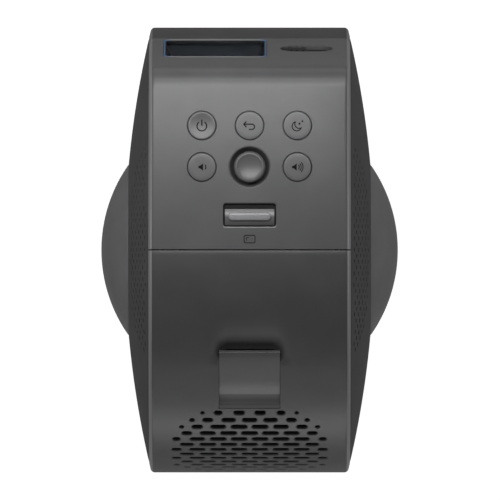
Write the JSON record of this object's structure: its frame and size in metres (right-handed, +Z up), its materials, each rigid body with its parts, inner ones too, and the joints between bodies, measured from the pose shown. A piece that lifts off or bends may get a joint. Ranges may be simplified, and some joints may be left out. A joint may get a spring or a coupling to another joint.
{
  "type": "video projector",
  "caption": "Portable video projector: a round domed body tilts in a low cradle base, with a keyed top panel, joystick, front lens window and a hinged rear grille cover with a port door.",
  "frame": {"origin": "middle of the base footprint on the table", "axes": "+Z up, -Y is the front that the lens looks toward, +X is the object's own left; the body axis runs along X"},
  "size_m": [0.1426, 0.214, 0.2299],
  "materials": {
    "panel": "fine textured",
    "shell": "fine textured",
    "dome": "satin",
    "base": "fine textured",
    "key": "satin",
    "inner_black": "matte",
    "gloss_black": "gloss",
    "trim": "gloss",
    "rubber": "matte",
    "steel": "brushed",
    "bright": "plated",
    "ballast": "raw",
    "brass": "turned",
    "copper": "drawn",
    "aluminium": "milled",
    "glass": "clear",
    "board": "satin",
    "cell": "wrapped",
    "phosphor": "coated"
  },
  "bodies": {
    "base": {"cradle_base": "base", "cradle_bottom_plate": "base", "cradle_pads": "rubber", "base_feet": "rubber", "base_magnets": "bright", "base_ballast": "ballast", "tripod_insert": "brass", "base_screws": "bright"},
    "head": {"left_shell": "shell", "right_shell": "shell", "left_dome": "dome", "right_dome": "dome", "top_cover": "panel", "bottom_band": "panel", "chassis": "inner_black", "rear_wall": "inner_black", "rim_hoops": "steel", "shell_screws": "bright", "window_trim": "trim", "lens_window": "glass", "lens_hood": "gloss_black", "lens_barrel": "inner_black", "lens_elements": "glass", "focus_motor": "steel", "optical_engine": "aluminium", "laser_module": "aluminium", "heat_sink": "aluminium", "heat_pipes": "copper", "fan_frame": "inner_black", "main_board": "board", "port_plate": "inner_black", "av_ports": "steel", "dc_jack": "inner_black", "media_stick": "gloss_black", "key_board": "board", "key_switches": "inner_black", "joystick_housing": "inner_black", "battery_cells": "cell", "battery_tray": "inner_black", "speaker_drivers": "steel", "speaker_cones": "inner_black", "slide_switch": "inner_black", "cover_hinge_pin": "steel"},
    "rear_cover": {"rear_cover": "panel", "door_hinge_pin": "steel"},
    "focus_ring": {"focus_ring": "aluminium"},
    "focus_pinion": {"focus_pinion": "brass"},
    "phosphor_wheel": {"phosphor_wheel": "phosphor"},
    "fan_rotor": {"fan_rotor": "inner_black"},
    "power_key": {"power_key": "key"},
    "back_key": {"back_key": "key"},
    "sleep_key": {"sleep_key": "key"},
    "volume_down_key": {"volume_down_key": "key"},
    "volume_up_key": {"volume_up_key": "key"},
    "joystick_gimbal": {"joystick_gimbal": "steel"},
    "joystick_stem": {"joystick_stem": "steel"},
    "joystick_cap": {"joystick_cap": "key"},
    "release_latch": {"release_latch": "key"},
    "slider_knob": {"slider_knob": "inner_black"},
    "port_door": {"port_door": "panel"}
  },
  "joints": [
    {"name": "head_tilt", "type": "hinge", "parent": "base", "child": "head", "pos_m": [0, 0, 0.122], "axis": [1, 0, 0], "range_deg": [-123, 12]},
    {"name": "cover_hinge", "type": "hinge", "parent": "head", "child": "rear_cover", "pos_m": [0, 0.0966, 0.08684], "axis": [-1, 0, 0], "range_deg": [0, 65]},
    {"name": "door_hinge", "type": "hinge", "parent": "rear_cover", "child": "port_door", "pos_m": [0, 0.07335, 0.19769], "axis": [-1, 0, 0], "range_deg": [0, 90]},
    {"name": "power_press", "type": "slide", "parent": "head", "child": "power_key", "axis": [0, 0, -1], "range_m": [0, 0.0008], "stiffness_N_per_m": 1500, "springref_m": -0.0005},
    {"name": "back_press", "type": "slide", "parent": "head", "child": "back_key", "axis": [0, 0, -1], "range_m": [0, 0.0008], "stiffness_N_per_m": 1500, "springref_m": -0.0005},
    {"name": "sleep_press", "type": "slide", "parent": "head", "child": "sleep_key", "axis": [0, 0, -1], "range_m": [0, 0.0008], "stiffness_N_per_m": 1500, "springref_m": -0.0005},
    {"name": "volume_down_press", "type": "slide", "parent": "head", "child": "volume_down_key", "axis": [0, 0, -1], "range_m": [0, 0.0008], "stiffness_N_per_m": 1500, "springref_m": -0.0005},
    {"name": "volume_up_press", "type": "slide", "parent": "head", "child": "volume_up_key", "axis": [0, 0, -1], "range_m": [0, 0.0008], "stiffness_N_per_m": 1500, "springref_m": -0.0005},
    {"name": "joystick_pitch", "type": "hinge", "parent": "head", "child": "joystick_gimbal", "pos_m": [0, -0.0395, 0.217], "axis": [1, 0, 0], "range_deg": [-6, 6], "stiffness_Nm_per_rad": 0.05},
    {"name": "joystick_roll", "type": "hinge", "parent": "joystick_gimbal", "child": "joystick_stem", "pos_m": [0, -0.0395, 0.217], "axis": [0, 1, 0], "range_deg": [-6, 6], "stiffness_Nm_per_rad": 0.05},
    {"name": "joystick_press", "type": "slide", "parent": "joystick_stem", "child": "joystick_cap", "axis": [0, 0, -1], "range_m": [0, 0.0007], "stiffness_N_per_m": 1800, "springref_m": -0.0005},
    {"name": "latch_slide", "type": "slide", "parent": "head", "child": "release_latch", "axis": [0, -1, 0], "range_m": [0, 0.0023], "stiffness_N_per_m": 500, "springref_m": -0.001},
    {"name": "switch_slide", "type": "slide", "parent": "head", "child": "slider_knob", "axis": [-1, 0, 0], "range_m": [0, 0.0092]},
    {"name": "focus_turn", "type": "hinge", "parent": "head", "child": "focus_ring", "pos_m": [0.0165, -0.0555, 0.17021], "axis": [0, -0.9781, 0.2079], "range_deg": [-50, 50]},
    {"name": "pinion_turn", "type": "hinge", "parent": "head", "child": "focus_pinion", "pos_m": [0.0165, -0.04948, 0.19852], "axis": [0, -0.9781, 0.2079], "range_deg": [-150, 150]},
    {"name": "wheel_spin", "type": "hinge", "parent": "head", "child": "phosphor_wheel", "pos_m": [-0.0235, -0.0379, 0.16646], "axis": [0, -0.9781, 0.2079], "continuous": true},
    {"name": "fan_spin", "type": "hinge", "parent": "head", "child": "fan_rotor", "pos_m": [0, 0.07418, 0.15197], "axis": [0, 0.9272, 0.3746], "continuous": true}
  ],
  "couplings": [
    {"joint": "pinion_turn", "follows": "focus_turn", "ratio": -3}
  ]
}
